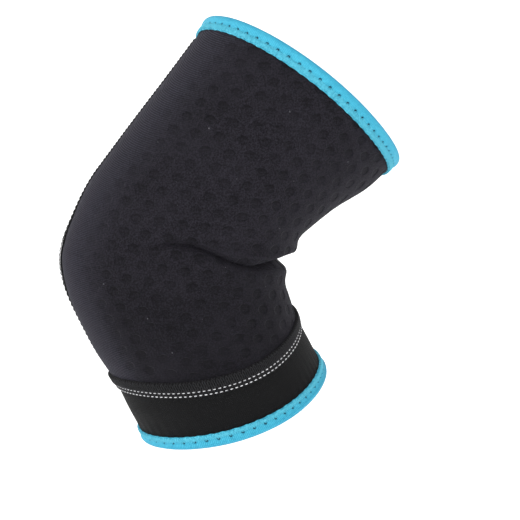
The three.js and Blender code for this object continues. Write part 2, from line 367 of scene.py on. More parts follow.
def pattern_place(points, turn):
    """Metres along and across the rows of dimples, for points of the plain outer face."""
    x, y, z = points[..., 0], points[..., 1], points[..., 2]
    centre, half_length = (crook_x(z) + back_x(z)) / 2, (crook_x(z) - back_x(z)) / 2
    half_width = -side_y(z)
    angle = np.arctan2(-y / half_width, (x - centre) / half_length)
    expected = math.pi - turn
    angle += math.tau * np.rint((expected - angle) / math.tau)
    mean, spread = (half_length + half_width) / 2, (half_width - half_length) / 2
    across = centre - mean * (angle - math.pi / 2) - spread / 2 * np.sin(2 * angle)
    along_row = across * math.cos(ROW_FALL) - z * math.sin(ROW_FALL)
    up_rows = across * math.sin(ROW_FALL) + z * math.cos(ROW_FALL)
    drift = DIMPLE_DRIFT * np.sin(along_row / DRIFT_WAVE[0] + up_rows / DRIFT_WAVE[1])
    sway = DIMPLE_DRIFT * np.sin(up_rows / SWAY_WAVE[0] - along_row / SWAY_WAVE[1])
    return along_row + drift, up_rows + sway


# %% The dimples
ROW_FALL = math.radians(7.6)
DIMPLE_PITCH = 9.2 * MM
ROW_PITCH = 5.96 * MM
ROW_SHIFT = 0.552
DIMPLE_HALF = (2.25 * MM, 1.8 * MM)
DIMPLE_DEPTH = 0.42 * MM
DIMPLE_FAINT = 0.2
FAINT_WAVE = (11 * MM, 9 * MM)
DIMPLE_DRIFT = 0.16 * MM
DRIFT_WAVE = (5 * MM, 7.5 * MM)
SWAY_WAVE = (6 * MM, 8.5 * MM)


def dimple_at(along_row, up_rows):
    """1 on the flat floor of a dimple, 0 between dimples."""
    row = np.rint(up_rows / ROW_PITCH)
    step = along_row / DIMPLE_PITCH - ROW_SHIFT * row
    du = (step - np.rint(step)) * DIMPLE_PITCH / DIMPLE_HALF[0]
    dv = (up_rows - row * ROW_PITCH) / DIMPLE_HALF[1]
    return smoothstep(-np.hypot(du, dv), -1.25, -0.75)


# %% [markdown]
# ## The sleeve
#
# The sleeve is a tube of foam with a knitted face on both sides. One grid makes the outer face,
# turns in at the edge and comes back as the inner face, so the wall is closed. The dimples are
# pressed into the outer face as real hollows. They fade towards the back of the arm, where the
# cloth is pulled tight, and beside both seams. The rings of the mesh lie closer at the elbow,
# where the creases are.

# %% Build the sleeve
SLEEVE_COLUMNS = 396
OUTER_RINGS = 208
INNER_RINGS = 34
UPPER_SHARE = 0.62
RING_CROWDING = 1.3
COLUMN_CROWDING = 0.25
TIGHT_WITHIN = (6, 40)
RIB_SLOPE = 0.5
RIB_RISE = (-5 * MM, 45 * MM)
RIB_REACH = 18 * MM
CLEAR_OF_BACK_SEAM = (2 * MM, 5 * MM)
CLEAR_OF_JOINT = (3 * MM, 6 * MM)


def turn_of(share):
    """The turn of a column, with the columns closer at the crook."""
    return math.tau * share + COLUMN_CROWDING * np.sin(math.tau * share)


shares = np.linspace(-0.2, 0, 2001)
SEAM_SHARE = float(np.interp(BACK_SEAM_TURN, turn_of(shares), shares))


def turns_from_seam(u):
    """Turns once round the arm from the back seam, with both ends at the same point."""
    full_turn = BACK_SEAM_TURN + math.tau
    return np.where(u > 1 - 1e-9, full_turn, turn_of(SEAM_SHARE + u))


def sleeve_rings(count):
    upper = round(count * UPPER_SHARE)
    above = -UPPER_REACH * np.linspace(1, 0, upper, endpoint=False) ** RING_CROWDING
    below = (JOINT - GAP / 2) * np.linspace(0, 1, count - upper) ** RING_CROWDING
    return np.concatenate([above, below])


def tightness(turn):
    """1 at the back of the arm, where the cloth is stretched, and 0 on its sides and front."""
    from_back = np.degrees(np.abs((turn + math.pi) % math.tau - math.pi))
    return 1 - smoothstep(from_back, *TIGHT_WITHIN)


def rib_place(plain, up_rows, from_seam):
    """Metres across the ribs of the knit, which slant down from the back seam of the upper arm."""
    slant = RIB_SLOPE * smoothstep(plain[:, 2], *RIB_RISE)
    return up_rows + slant * RIB_REACH * (1 - np.exp(-from_seam / RIB_REACH))


def wrap_sleeve(u, v):
    outer, inner = sleeve_rings(OUTER_RINGS), sleeve_rings(INNER_RINGS)
    rings = np.concatenate([outer, inner[::-1], outer[:1]])
    face = np.concatenate([np.ones(OUTER_RINGS), np.zeros(INNER_RINGS), [1]])
    row = even_rows(v, len(rings) - 1)
    along, outside, turn = rings[row], face[row], turns_from_seam(u)
    plain, out, stretch = cloth_frame(along, turn)
    place = np.stack(pattern_place(plain, turn), -1)
    tight = tightness(turn)
    from_seam = np.minimum(u, 1 - u) * girth(0)
    waves = place / FAINT_WAVE
    faint = DIMPLE_FAINT * (1 + np.sin(waves[:, 0]) * np.cos(waves[:, 1]))
    dimpled = outside * (1 - tight) * smoothstep(from_seam, *CLEAR_OF_BACK_SEAM) * (1 - faint)
    dimpled *= smoothstep(JOINT - along, *CLEAR_OF_JOINT)
    press = dimple_at(place[:, 0], place[:, 1]) * dimpled * DIMPLE_DEPTH
    height = -press - (1 - outside) * SLEEVE_WALL + fold_height(along, turn, stretch)
    ribs = rib_place(plain, place[:, 1], from_seam)
    return plain + out * height[:, None], place, {"dimpled": dimpled, "tight": tight, "ribs": ribs}


sleeve = wrapped_grid("sleeve", SLEEVE_COLUMNS, OUTER_RINGS + INNER_RINGS, wrap_sleeve)

# %% [markdown]
# ## The cuff
#
# The cuff is a plain band of a thinner, smooth cloth, sewn on where the sleeve ends. A machine
# stitch pulls the cloth down a little at each needle hole, so the band gets a faint pucker
# along the tape. It is made from its own wrapped grid.

# %% Build the cuff
CUFF_COLUMNS = 432
CUFF_RINGS = 30
PUCKER = 0.12 * MM
PUCKER_REACH = 5 * MM
STITCH = 4.2 * MM


def wrap_cuff(u, v):
    half = CUFF_RINGS // 2
    down = np.linspace(JOINT + GAP / 2, LOWER_REACH, half)
    rings = np.concatenate([down, down[::-1], down[:1]])
    face = np.concatenate([np.ones(half), np.zeros(half), [1]])
    row = even_rows(v, len(rings) - 1)
    along, outside, turn = rings[row], face[row], turns_from_seam(u)
    plain, out, stretch = cloth_frame(along, turn)
    stitches = round(girth(LOWER_REACH) / STITCH)
    near_tape = np.exp(-(LOWER_REACH - LOWER_TAPE_WIDTH - along).clip(0) / PUCKER_REACH)
    pull = PUCKER * near_tape * np.cos(math.tau * stitches * u) * outside
    height = pull - (1 - outside) * CUFF_WALL + fold_height(along, turn, stretch)
    uv = np.stack([u * girth(LOWER_REACH), along], -1)
    return plain + out * height[:, None], uv, {}


cuff = wrapped_grid("cuff", CUFF_COLUMNS, CUFF_RINGS, wrap_cuff)

# %% [markdown]
# ## The blue tape
#
# The tape is folded over the raw edge and sewn down with one row of needle holes. Its section
# is drawn once: a thin hem on the cloth, a valley along the needle row, a soft swelling, and
# the fold. The same section runs inside the sleeve. Every stitch presses a hole into the
# valley and pulls the hem in a little, which gives it a scalloped edge.

# %% The section of the tape
RIM = GAP + TAPE_CLOTH
TIP = RIM + TAPE_PUFF
NEEDLE_SHARE = 0.42
HOLE_RADIUS = 0.5 * MM
HOLE_DEPTH = 0.8 * MM
SCALLOP = 0.2 * MM
HEM_REACH = 1.2 * MM
FACE_ROWS = 46
COLUMNS_PER_STITCH = 14
# The edges: which end, its reach along the arm, the wall under the tape, the tape's width
UPPER_EDGE = (-1, UPPER_REACH, SLEEVE_WALL, UPPER_TAPE_WIDTH)
LOWER_EDGE = (1, LOWER_REACH, CUFF_WALL, LOWER_TAPE_WIDTH)


def needle_row(width):
    """How far out from the edge of the cloth the row of needle holes lies."""
    return RIM - width * (1 - NEEDLE_SHARE)


def tape_face(width):
    """The outer face of the tape, as distances out from the edge and heights."""
    hem, needle = RIM - width, needle_row(width)
    return np.array([
        (hem, GAP),
        (hem - 0.05 * MM, 0.55 * RIM),
        (hem + 0.3 * MM, 0.86 * RIM),
        (hem + 0.9 * MM, 1.02 * RIM),
        (needle - 0.8 * MM, 1.0 * RIM),
        (needle, 0.82 * RIM),
        (needle + 0.8 * MM, RIM),
        (needle + 1.6 * MM, RIM + 0.75 * TAPE_PUFF),
        (-0.4 * MM, RIM + TAPE_PUFF),
        (0.7 * MM, RIM + 0.2 * TAPE_PUFF),
    ])


def from_edge(end, reach, out, turn):
    """The place along the arm that lies a true distance out from an edge of the cloth."""
    stretch = cloth_frame(np.full_like(turn, end * reach), turn)[2]
    return end * (reach + out / stretch)


def tape_section(wall, width):
    """Points round the tape: its outer face, the fold, its inner face and the channel."""
    face = tape_face(width)
    other = np.array([(out, -wall - height) for out, height in face[::-1]])
    keys = np.vstack([face, [(TIP, -0.25 * wall), (TIP, -0.75 * wall)], other])
    share = np.linspace(0, 1, FACE_ROWS)
    face = np.stack([along_path(keys[:, 0], share), along_path(keys[:, 1], share)], -1)
    channel = [(GAP, -wall - GAP), (GAP, -wall / 2), (GAP, GAP)]
    return np.vstack([face, channel, face[:1]])


# %% Build both tapes
def wrap_tape(end, reach, wall, width):
    profile = tape_section(wall, width)
    hem, needle = RIM - width, needle_row(width)
    stitches = round(girth(end * reach) / STITCH)

    def wrap(u, v):
        row = even_rows(v, len(profile) - 1)
        out, height = profile[row, 0], profile[row, 1]
        phase = u * stitches
        beside = (phase - np.rint(phase)) * STITCH
        away = np.hypot(beside, out - needle) / HOLE_RADIUS
        hole = np.exp(-(away**2))
        on_face = row < FACE_ROWS
        inward = np.where(height > -wall / 2, -1, 1)
        height = height + inward * HOLE_DEPTH * hole * on_face
        near_hem = np.exp(-((out - hem) / HEM_REACH) ** 2) * on_face
        out = out + SCALLOP * np.cos(math.tau * phase) * near_hem
        turn = turns_from_seam(u)
        points = cloth_point(from_edge(end, reach, out, turn), turn, height)
        uv = np.stack([phase * STITCH, profile[row, 0]], -1)
        return points, uv, {"hole": hole * on_face}

    return stitches * COLUMNS_PER_STITCH, len(profile) - 1, wrap


upper_tape = wrapped_grid("upper_tape", *wrap_tape(*UPPER_EDGE))
lower_tape = wrapped_grid("lower_tape", *wrap_tape(*LOWER_EDGE))

# %% [markdown]
# ## Threads
#
# A thread is a thin tube along a path on the cloth. A curve with a bevel would twist as the
# sleeve turns, while a small grid rolled round the path keeps each ring of the tube square to
# the cloth. On the tape, the thread zigzags between the hem and the needle row, and meets each
# needle hole from both sides.

# %% Roll a grid round a path
THREAD_SIDES = 6


def thread(name, path, out, radius):
    """A closed loop of thread along the points of path, with out pointing off the cloth."""
    count = len(path)

    def wrap(u, v):
        i = even_rows(u, count) % count
        forward = unit(path[(i + 1) % count] - path[i - 1])
        side = unit(np.cross(forward, out[i]))
        up = np.cross(side, forward)
        angle = math.tau * (even_rows(v, THREAD_SIDES) % THREAD_SIDES) / THREAD_SIDES
        ring = np.cos(angle)[:, None] * side + np.sin(angle)[:, None] * up
        run = run_along(np.vstack([path, path[:1]]))[even_rows(u, count)]
        uv = np.stack([run, v * math.tau * radius], -1)
        return path[i] + ring * radius, uv, {}

    return wrapped_grid(name, count, THREAD_SIDES, wrap)


# %% Sew the zigzag onto the tapes
ZIGZAG_PER_STITCH = 5
POINTS_PER_ZIGZAG = 6
TAPE_THREAD = 0.15 * MM
ZIGZAG_LEAN = 0.35
ZIGZAG_UNEVEN = 0.12 * MM
FROM_HEM, FROM_NEEDLE, SHORT_OF_HOLE = 0.3 * MM, 0.15 * MM, 0.5 * MM
ON_THE_TAPE = 0.06 * MM


def tape_thread(name, end, reach, wall, width, inside=False):
    """A zigzag from the hem to the needle holes, on the outer or the inner face."""
    face = tape_face(width)
    stitches = round(girth(end * reach) / STITCH)
    zigzags = stitches * ZIGZAG_PER_STITCH
    count = zigzags * POINTS_PER_ZIGZAG
    share = np.arange(count) / count
    phase = share * zigzags
    at_hole = 0.5 + 0.5 * np.cos(math.tau * phase / ZIGZAG_PER_STITCH)
    swing = 0.5 + 0.5 * np.cos(math.tau * phase)
    uneven = ZIGZAG_UNEVEN * np.sin(2.9 * phase) * np.sin(0.37 * phase)
    near = RIM - width + FROM_HEM
    far = needle_row(width) - FROM_NEEDLE - SHORT_OF_HOLE * (1 - at_hole) + uneven
    out = near + (far - near) * smoothstep(swing, 0.1, 0.9)
    height = np.interp(out, face[:, 0], face[:, 1]) + ON_THE_TAPE
    height = -wall - height if inside else height
    turn = turns_from_seam((share + ZIGZAG_LEAN * (swing - 0.5) / zigzags) % 1)
    along = from_edge(end, reach, out, turn)
    path = cloth_point(along, turn, height)
    return thread(name, path, cloth_frame(along, turn)[1], TAPE_THREAD)


upper_zigzag = tape_thread("upper_tape_thread", *UPPER_EDGE)
lower_zigzag = tape_thread("lower_tape_thread", *LOWER_EDGE)
upper_inner_zigzag = tape_thread("upper_inner_thread", *UPPER_EDGE, inside=True)
lower_inner_zigzag = tape_thread("lower_inner_thread", *LOWER_EDGE, inside=True)

# %% [markdown]
# ## The seam strips
#
# The sleeve and the cuff are joined edge to edge by a flat seam. Black thread covers its upper
# part and makes a raised, rough ribbon, and the lower part is smooth. The same kind of seam
# runs up the back of the sleeve. Each strip is a low ridge with the black thread laid over it.

# %% Build the strip over the joint of sleeve and cuff
STRIP_TOP = GAP + STRIP_THICKNESS
CUFF_STRIP = np.array([
    (-0.5, 0.25), (-0.47, 0.8), (-0.38, 1.0), (-0.2, 1.05), (0.0, 1.0), (0.08, 0.86),
    (0.14, 0.72), (0.3, 0.7), (0.42, 0.62), (0.5, 0.25),
])
BACK_STRIP = np.array([
    (-0.5, 0.25), (-0.47, 0.6), (-0.38, 0.8), (-0.1, 0.86), (0.2, 0.86), (0.38, 0.8),
    (0.47, 0.6), (0.5, 0.25),
])
STRIP_ROWS = 24
STRIP_GRID_ROWS = STRIP_ROWS + 3
CUFF_SEAM_COLUMNS = 520


def strip_section(table, width):
    """Places across a strip and their heights, over the top and back along its underside."""
    share = np.linspace(0, 1, STRIP_ROWS)
    across = along_path(table[:, 0], share) * width
    height = along_path(table[:, 1], share) * STRIP_TOP
    under = [(across[-1], GAP), (0, GAP), (across[0], GAP)]
    return np.vstack([np.stack([across, height], -1), under, [(across[0], height[0])]])


def wrap_cuff_seam(u, v):
    profile = strip_section(CUFF_STRIP, CUFF_SEAM_WIDTH)
    row = even_rows(v, len(profile) - 1)
    along = JOINT + profile[row, 0]
    points = cloth_point(along, turns_from_seam(u), profile[row, 1])
    return points, np.stack([u * girth(JOINT), profile[row, 0]], -1), {}


cuff_strip = wrapped_grid("cuff_strip", CUFF_SEAM_COLUMNS, STRIP_GRID_ROWS, wrap_cuff_seam)

# %% The black thread over the joint
COVER_PITCH = 1.5 * MM
COVER_THREAD = 0.24 * MM
COVER_MIDDLE, COVER_REACH = -0.2, 0.26
COVER_LEAN = 0.12
COVER_RISE = 0.1 * MM
POINTS_PER_LOOP = 8


def strip_height(table, across, width):
    return np.interp(across / width, table[:, 0], table[:, 1]) * STRIP_TOP


def cuff_cover_thread():
    """Loops across the strip, leaning a little, all the way round."""
    loops = round(girth(JOINT) / COVER_PITCH)
    count = loops * POINTS_PER_LOOP
    share = np.arange(count) / count
    swing = np.cos(math.tau * share * loops)
    share = share + COVER_LEAN * np.sin(math.tau * share * loops * 2) / loops
    across = (COVER_MIDDLE + COVER_REACH * swing) * CUFF_SEAM_WIDTH
    height = strip_height(CUFF_STRIP, across, CUFF_SEAM_WIDTH) + COVER_RISE
    turn = turns_from_seam(share % 1)
    path = cloth_point(JOINT + across, turn, height)
    way = cloth_frame(JOINT + across, turn)[1]
    return thread("cuff_cover_thread", path, way, COVER_THREAD)


cuff_cover = cuff_cover_thread()

# %% [markdown]
# ## The strip up the back
#
# This strip ends beside the tape and beside the cuff's strip. The grid wraps round its section
# as before, with both end rows drawn together to a point inside it, which leaves no hole. At
# the elbow's point the seam drifts to one side, its dashes with it, and the black thread
# stands up beside them.

# %% Build the back strip
BACK_FROM = float(from_edge(
    -1, UPPER_REACH, RIM - UPPER_TAPE_WIDTH - GAP, np.array([BACK_SEAM_TURN])
)[0])
BACK_TO = JOINT - CUFF_SEAM_WIDTH / 2 - GAP
BACK_COLUMNS = 260


def near_elbow(along):
    """1 at the elbow's point, where the back seam drifts to one side, 0 far from it."""
    return np.exp(-(((along - SWAY_AT) / SWAY_LENGTH) ** 2))


def beside_back_seam(along, across):
    """The turn that lies a distance across from the middle of the back seam."""
    ahead = plain_point(along, BACK_SEAM_TURN + SLOPE_STEP)
    behind = plain_point(along, BACK_SEAM_TURN - SLOPE_STEP)
    per_radian = length(ahead - behind) / (2 * SLOPE_STEP)
    return BACK_SEAM_TURN + (across + BACK_SEAM_SWAY * near_elbow(along)) / per_radian


def wrap_back_seam(u, v):
    profile = strip_section(BACK_STRIP, BACK_SEAM_WIDTH)
    row = even_rows(v, len(profile) - 1)
    across, height = profile[row, 0], profile[row, 1]
    closing = (u < 1e-9) | (u > 1 - 1e-9)
    across = np.where(closing, 0, across)
    height = np.where(closing, GAP + STRIP_THICKNESS / 2, height)
    along = BACK_FROM + (BACK_TO - BACK_FROM) * u
    points = cloth_point(along, beside_back_seam(along, across), height)
    return points, np.stack([u * (BACK_TO - BACK_FROM), profile[row, 0]], -1), {}


back_strip = wrapped_grid("back_strip", BACK_COLUMNS, STRIP_GRID_ROWS, wrap_back_seam)

# %% The black thread up the back
BACK_COVER_THREAD = 0.2 * MM
BACK_COVER_MIDDLE, BACK_COVER_REACH = 0.75 * MM, 1.45 * MM
BACK_COVER_SWAY = -0.6 * MM
BACK_COVER_CALM = 0.5
BACK_COVER_LIFT = 0.32 * MM
INSIDE_STRIP = GAP + 0.25 * MM
SEAM_END = 1 * MM


def back_cover_thread():
    """Loops down the strip, and the same thread straight back up inside it."""
    loops = round((BACK_TO - BACK_FROM) / COVER_PITCH)
    share = np.linspace(0, 1, loops * POINTS_PER_LOOP)
    swing = np.cos(math.tau * share * loops)
    along = BACK_FROM + SEAM_END + (BACK_TO - BACK_FROM - 2 * SEAM_END) * share
    drift = near_elbow(along)
    reach = BACK_COVER_REACH * (1 - BACK_COVER_CALM * drift)
    across = BACK_COVER_MIDDLE + BACK_COVER_SWAY * drift + reach * swing
    height = strip_height(BACK_STRIP, across, BACK_SEAM_WIDTH) + COVER_RISE
    height += BACK_COVER_LIFT * drift**2
    back_up = along[::-4]
    along = np.concatenate([along, back_up])
    across = np.concatenate([across, np.full_like(back_up, BACK_COVER_MIDDLE)])
    height = np.concatenate([height, np.full_like(back_up, INSIDE_STRIP)])
    turn = beside_back_seam(along, across)
    path = cloth_point(along, turn, height)
    return thread("back_cover_thread", path, cloth_frame(along, turn)[1], BACK_COVER_THREAD)


back_cover = back_cover_thread()

# %% [markdown]
# ## White stitches
#
# The needle thread of the flat seams is white and shows as short dashes in two close rows. A
# dash is a small ball drawn out along the seam. create_uvsphere takes a matrix, so each one is
# made in its place, lying along the seam and half sunk into it. All the dashes of a seam are
# one mesh.

# %% Sew the dashes
DASH_PITCH = 2.05 * MM
DASH_SIZE = (1.3 * MM, 0.46 * MM, 0.36 * MM)
DASH_RISE = 0.04 * MM
SAMPLES = 4001


def dashes(name, rows):
    """One mesh of dashes. A row has places, places a bit ahead and ways off the cloth."""
    places, ahead, outs = (np.vstack(part) for part in zip(*rows))
    forwards = unit(ahead - places)
    outs = unit(outs - (outs * forwards).sum(-1, keepdims=True) * forwards)
    bm = bmesh.new()
    for place, forward, out in zip(places, forwards, outs):
        turned = Matrix(np.stack([forward, np.cross(out, forward), out], -1).tolist())
        sized = Matrix.Diagonal([size / 2 for size in DASH_SIZE] + [1])
        matrix = Matrix.Translation(place.tolist()) @ turned.to_4x4() @ sized
        bmesh.ops.create_uvsphere(bm, u_segments=8, v_segments=6, radius=1, matrix=matrix)
    return smooth_piece(bm, bpy.data.meshes.new(name))


def cuff_row(across):
    """One row of dashes round the cuff's seam."""
    count = round(girth(JOINT) / DASH_PITCH)
    even = np.linspace(0, 1, SAMPLES)
    height = strip_height(CUFF_STRIP, across, CUFF_SEAM_WIDTH) + DASH_RISE
    along = np.full_like(even, JOINT + across)
    run = run_along(cloth_point(along, turns_from_seam(even), np.full_like(even, height)))
    u = np.interp((np.arange(count) + 0.5) / count * run[-1], run, even)
    here, level, height = turns_from_seam(u), np.full_like(u, JOINT + across), u * 0 + height
    ahead = cloth_point(level, here + SLOPE_STEP, height)
    return cloth_point(level, here, height), ahead, cloth_frame(level, here)[1]


cuff_dashes = dashes("cuff_stitches", [cuff_row(0.9 * MM), cuff_row(2.5 * MM)])

# %% The dashes up the back
DASH_SWAY = 2.6 * MM
DASH_LIFT = 0.25 * MM
BIT_AHEAD = 0.1 * MM


def back_row(row):
    """One row of dashes up the back seam."""
    even = np.linspace(BACK_FROM + SEAM_END, BACK_TO - SEAM_END, SAMPLES)
    drift = near_elbow(even) ** 2
    across = row + DASH_SWAY * drift
    lift = DASH_RISE + DASH_LIFT * drift
    height = strip_height(BACK_STRIP, across, BACK_SEAM_WIDTH) + lift
    line = cloth_point(even, beside_back_seam(even, across), height)
    run = run_along(line)
    count = round(run[-1] / DASH_PITCH)
    at = (np.arange(count) + 0.5) / count * run[-1]
    level = np.interp(at, run, even)
    point = np.stack([np.interp(at, run, line[:, i]) for i in range(3)], -1)
    ahead = np.stack([np.interp(at + BIT_AHEAD, run, line[:, i]) for i in range(3)], -1)
    here = beside_back_seam(level, np.interp(at, run, across))
    return point, ahead, cloth_frame(level, here)[1]


back_dashes = dashes("back_stitches", [back_row(-1.3 * MM), back_row(-2.2 * MM)])

# %% [markdown]
# ## Writing materials as sums
#
# A material is a net of nodes, but most of its nodes are plain arithmetic. A small class holds
# one socket and turns +, -, * and / into Math nodes, so a pattern reads as a formula. One
# method adds every other node: its settings first, then the values or links of its sockets.
# Woven ribs and twisted strands are sine waves along the UV map, which is in metres.

# %% Sockets that can be added and multiplied
BUMP_DISTANCE = 1 * MM


class Value:
    """One output socket, or a number, in a material that is being written."""

    def __init__(self, finish, socket):
        self.finish, self.socket = finish, socket

    def math(self, operation, *others):
        return self.finish.node("ShaderNodeMath", {"operation": operation}, [self, *others])

    def __add__(self, other):
        return self.math("ADD", other)

    def __sub__(self, other):
        return self.math("SUBTRACT", other)

    def __mul__(self, other):
        return self.math("MULTIPLY", other)

    def __truediv__(self, other):
        return self.math("DIVIDE", other)

    def __rsub__(self, other):
        return self.math("MULTIPLY", -1).math("ADD", other)

    __radd__, __rmul__ = __add__, __mul__

    def wave(self, pitch):
        """A sine wave along the value, from -1 to 1."""
        return (self * (math.tau / pitch)).math("SINE")

    def rise(self, low, high):
        """0 below low, 1 above high and a smooth rise between."""
        settings = {"interpolation_type": "SMOOTHSTEP"}
        return self.finish.node("ShaderNodeMapRange", settings, {
            "Value": self, "From Min": low, "From Max": high,
        })


class Finish:
    """A material whose nodes are added one by one."""

    def __init__(self, name, **surface):
        self.material = bpy.data.materials.new(name)
        self.material.use_nodes = True
        self.nodes, self.links = self.material.node_tree.nodes, self.material.node_tree.links
        self.surface = self.nodes["Principled BSDF"]
        for socket, value in surface.items():
            self.surface.inputs[socket.replace("_", " ")].default_value = value

    def node(self, kind, settings=None, inputs=None, output=0):
        node = self.nodes.new(kind)
        for name, value in (settings or {}).items():
            setattr(node, name, value)
        pairs = inputs.items() if isinstance(inputs, dict) else enumerate(inputs or [])
        for key, value in pairs:
            self.join(value, node.inputs[key])
        return Value(self, node.outputs[output])

    def join(self, value, socket):
        if isinstance(value, Value):
            self.links.new(value.socket, socket)
        else:
            socket.default_value = value

    def feed(self, **values):
        for name, value in values.items():
            self.join(value, self.surface.inputs[name.replace("_", " ")])

    def attribute(self, name):
        return self.node("ShaderNodeAttribute", {"attribute_name": name}, output="Fac")

    def cloth_uv(self):
        """The metres across and up the cloth, from the piece's own UV map."""
        uv = self.node("ShaderNodeUVMap", {"uv_map": "cloth"})
        apart = self.node("ShaderNodeSeparateXYZ", inputs=[uv])
        return apart, Value(self, apart.socket.node.outputs["Y"])

    def noise(self, scale, detail=2, roughness=0.5):
        """Soft noise, in lumps about 1 / scale metres apart."""
        place = self.node("ShaderNodeTexCoord", output="Object")
        return self.node("ShaderNodeTexNoise", inputs={
            "Vector": place, "Scale": scale, "Detail": detail, "Roughness": roughness,
        })

    def mix(self, factor, low, high):
        """A colour between two colours."""
        return self.node("ShaderNodeMix", {"data_type": "RGBA"}, {
            0: factor, 6: low, 7: high,
        }, output=2)

    def bump(self, height):
        return self.node("ShaderNodeBump", inputs={
            "Strength": 1.0, "Distance": BUMP_DISTANCE, "Height": height,
        })


def colour(red, green, blue):
    """A colour as a screen shows it, 0 to 255, turned into the light values of a shader."""
    def light(part):
        part /= 255
        return part / 12.92 if part <= 0.04045 else ((part + 0.055) / 1.055) ** 2.4

    return light(red), light(green), light(blue), 1.0


# %% [markdown]
# ## The dimpled cloth
#
# The face of the cloth is a fine knit, matt, with a faint violet sheen where it turns away. Its
# dimples are pressed foam, so they are smoother, with painted shade in their hollows that is
# darkest as a painted shadow under their upper rim, and a crisp edge that the mesh alone would
# leave soft. Where the cloth is pulled tight at the back, the ribs of the knit open and look
# paler, partly in their own colour and partly as a painted sheen along that edge. Lower down,
# towards the forearm, the cloth gets painted shade. Tiny bits of lint catch the light.

# %% Mix the dimpled cloth
KNIT_PITCH = 0.78 * MM
CLOTH_DARK = colour(15, 14, 18)
DIMPLE_SHADE = colour(5, 5, 7)
CLOTH_LIGHT = colour(40, 38, 45)
CLOTH_TIGHT_AND_SHEEN = colour(62, 61, 72)
LINT = colour(120, 120, 126)

cloth = Finish(
    "dimpled_cloth", Sheen_Weight=0.04, Sheen_Roughness=0.4,
    Sheen_Tint=(0.62, 0.6, 0.75, 1), Specular_IOR_Level=0.12,
)
along_row, up_rows = cloth.cloth_uv()
tight = cloth.attribute("tight")
row = (up_rows / ROW_PITCH).math("ROUND")
step = along_row / DIMPLE_PITCH - row * ROW_SHIFT
du = (step - step.math("ROUND")) * (DIMPLE_PITCH / DIMPLE_HALF[0])
dv = (up_rows / ROW_PITCH - row) * (ROW_PITCH / DIMPLE_HALF[1])
away = (du * du + dv * dv).math("SQRT")
dimple = (1 - away.rise(0.9, 1.12)) * cloth.attribute("dimpled")
# A mask for the painted shadow under each dimple's upper rim.
upper_rim_shadow = dimple * dv.rise(-0.1, 0.8)
# Painted shade: the cloth gets darker towards the bottom, where less light falls.
place = cloth.node("ShaderNodeTexCoord", output="Object")
level = cloth.node("ShaderNodeSeparateXYZ", inputs=[place], output="Z")
painted_low_shade = 1 - level.rise(-35 * MM, 15 * MM)

wale = cloth.attribute("ribs").wave(KNIT_PITCH)
course = along_row.wave(0.8 * KNIT_PITCH)
knit = wale * (0.35 + tight * 0.65) + course * (0.3 - tight * 0.2)
fuzz = cloth.noise(2600, detail=3, roughness=0.7)
grain = cloth.noise(1500, detail=2, roughness=0.65)
patches = cloth.noise(45)
specks = cloth.noise(900, detail=0)

grey = grain.rise(0.28, 0.72) * (1 - painted_low_shade * 0.3) - painted_low_shade * 0.12 - 0.06
body = cloth.mix(grey, CLOTH_DARK, CLOTH_LIGHT)
# The paler ribs of the tight knit at the back: partly their own colour, partly a painted sheen
# along the lit back edge.
ribbed_and_sheen = tight * wale.rise(-0.5, 0.9) * (0.3 + grain * 0.9)
body = cloth.mix(ribbed_and_sheen, body, CLOTH_TIGHT_AND_SHEEN)
# Painted shade in the dimples' hollows, darkest as a painted shadow under their upper rim.
body = cloth.mix(dimple * 0.28 + upper_rim_shadow * 0.45, body, DIMPLE_SHADE)
body = cloth.mix(patches.rise(0.35, 0.8) * 0.25, body, CLOTH_LIGHT)
body = cloth.mix(specks.rise(0.885, 0.9) * 0.5, body, LINT)
height = knit * 0.06 + grain * 0.2 + fuzz * 0.1 - dimple * 0.3
cloth.feed(
    Base_Color=body,
    Roughness=0.78 + fuzz * 0.18 - dimple * 0.06,
    Normal=cloth.bump(height),
)
print("dimpled cloth nodes:", len(cloth.nodes))

# %% [markdown]
# ## The cuff's cloth
#
# The cuff is smoother and blacker than the sleeve, a close knit with fine ribs that run along
# the arm. Two noises of different size keep it from looking like paint.

# %% Mix the cuff's cloth
CUFF_DARK = colour(10, 10, 11)
CUFF_LIGHT = colour(23, 23, 24)

cuff_cloth = Finish(
    "cuff_cloth", Sheen_Weight=0.02, Sheen_Roughness=0.4, Specular_IOR_Level=0.12,
)
around, up = cuff_cloth.cloth_uv()
ribs, rows_up = around.wave(0.7 * MM), up.wave(0.9 * MM)
fuzz = cuff_cloth.noise(2200, detail=3, roughness=0.65)
patches = cuff_cloth.noise(60)
body = cuff_cloth.mix(fuzz.rise(0.3, 0.75), CUFF_DARK, CUFF_LIGHT)
body = cuff_cloth.mix(patches.rise(0.4, 0.8) * 0.4, body, CUFF_DARK)
cuff_cloth.feed(
    Base_Color=body,
    Roughness=0.74 + fuzz * 0.2,
    Normal=cuff_cloth.bump(ribs * 0.03 + rows_up * 0.02 + fuzz * 0.16),
)

# %% [markdown]
# ## The blue tape and its thread
#
# The tape is a soft woven ribbon with a little more shine than the cloth. The half beside its
# rim is finely ribbed and gets painted shade towards the rim, where it turns over the fold; the
# other half is speckled, and the needle holes get painted shade. The thread on it is a paler
# blue and is twisted, which slanted lines along its UV map show, with painted shade in the
# grooves between the strands.

# %% Mix the tape and its thread
TAPE_DEEP = colour(42, 144, 178)
TAPE_BLUE = colour(74, 184, 210)
TAPE_SPECK_AND_HOLE_SHADE = colour(6, 44, 70)
THREAD_BLUE = colour(104, 206, 228)

